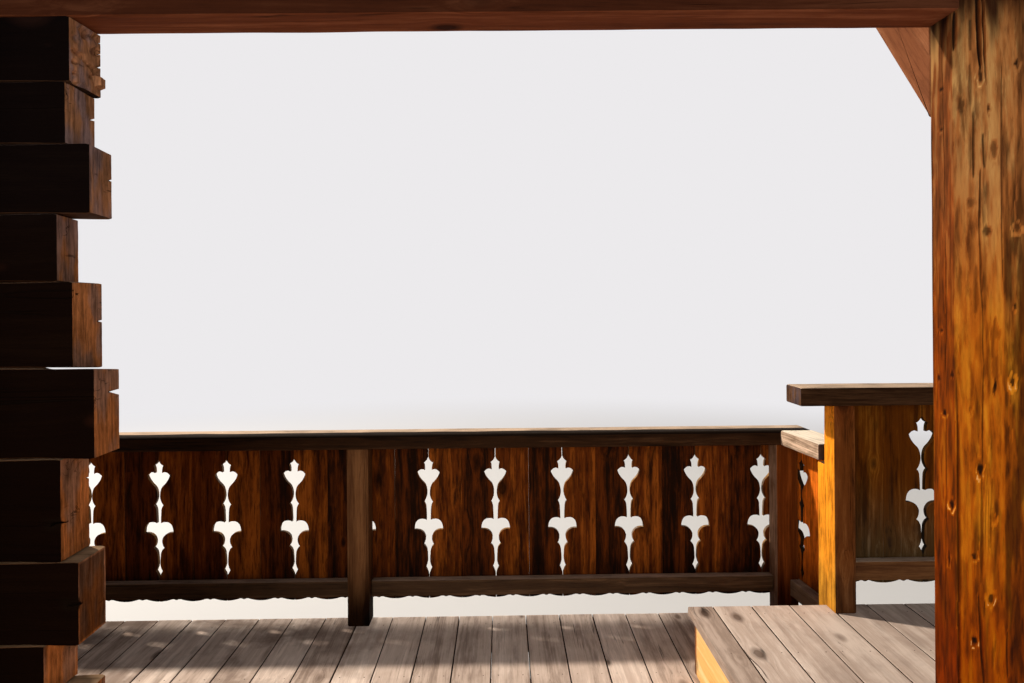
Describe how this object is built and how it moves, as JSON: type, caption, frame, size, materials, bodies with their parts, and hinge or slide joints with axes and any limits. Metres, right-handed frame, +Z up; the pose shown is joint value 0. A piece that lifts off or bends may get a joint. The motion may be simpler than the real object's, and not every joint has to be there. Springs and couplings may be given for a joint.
{
  "type": "alpine chalet loggia front with fretwork balcony",
  "caption": "Loggia front of an alpine log chalet: notched log wall corner, head beam on a hewn post, plank balcony, raised platform and fretwork railings.",
  "frame": {"origin": "centre of the bounding box at ground level", "axes": "+X to the right for someone who looks out of the loggia, +Y out of the house towards the balcony railing, +Z up"},
  "size_m": [6.16, 2.59, 3.3],
  "materials": {
    "log_wood": "dark weathered squared logs",
    "beam_wood": "dark red-brown hewn beam",
    "post_wood": "oiled orange-brown hewn pine with knots and checks",
    "bracket_wood": "sun-bleached pinkish brown",
    "rail_wood": "dark stained rail, greyed on top",
    "board_wood": "red-brown stained fretwork boards",
    "deck_wood": "silver-grey weathered planks",
    "riser_wood": "fresh yellow-orange plank",
    "frame_wood": "rough sawn framing",
    "stone": "rough field stone"
  },
  "bodies": {
    "root": {"log_course_01": "log_wood", "log_course_02": "log_wood", "log_course_03": "log_wood", "log_course_04": "log_wood", "log_course_05": "log_wood", "log_course_06": "log_wood", "log_course_07": "log_wood", "log_course_08": "log_wood", "log_course_09": "log_wood", "log_course_10": "log_wood", "log_course_11": "log_wood", "log_course_12": "log_wood", "log_course_13": "log_wood", "cross_logs_lower": "log_wood", "cross_logs_upper": "log_wood", "head_beam": "beam_wood", "corner_post": "post_wood", "beam_pegs": "post_wood", "bracket": "bracket_wood", "purlin": "beam_wood", "stone_footing": "stone", "pad_stones": "stone", "deck_bearers": "frame_wood", "deck_joists": "frame_wood", "deck_fascia": "board_wood", "balcony_deck": "deck_wood", "loggia_floor": "deck_wood", "platform_joists": "frame_wood", "platform_legs": "frame_wood", "platform_deck": "deck_wood", "platform_risers": "riser_wood", "railing_post_left": "rail_wood", "railing_post_middle": "rail_wood", "railing_post_corner": "rail_wood", "railing_cap": "rail_wood", "railing_bottom_rail": "rail_wood", "fret_panel_left": "board_wood", "fret_panel_right": "board_wood", "return_post": "rail_wood", "return_cap": "rail_wood", "return_fret_panel": "board_wood", "upper_posts": "rail_wood", "upper_cap": "rail_wood", "upper_bottom_rail": "rail_wood", "upper_fret_panel": "board_wood"}
  },
  "joints": []
}
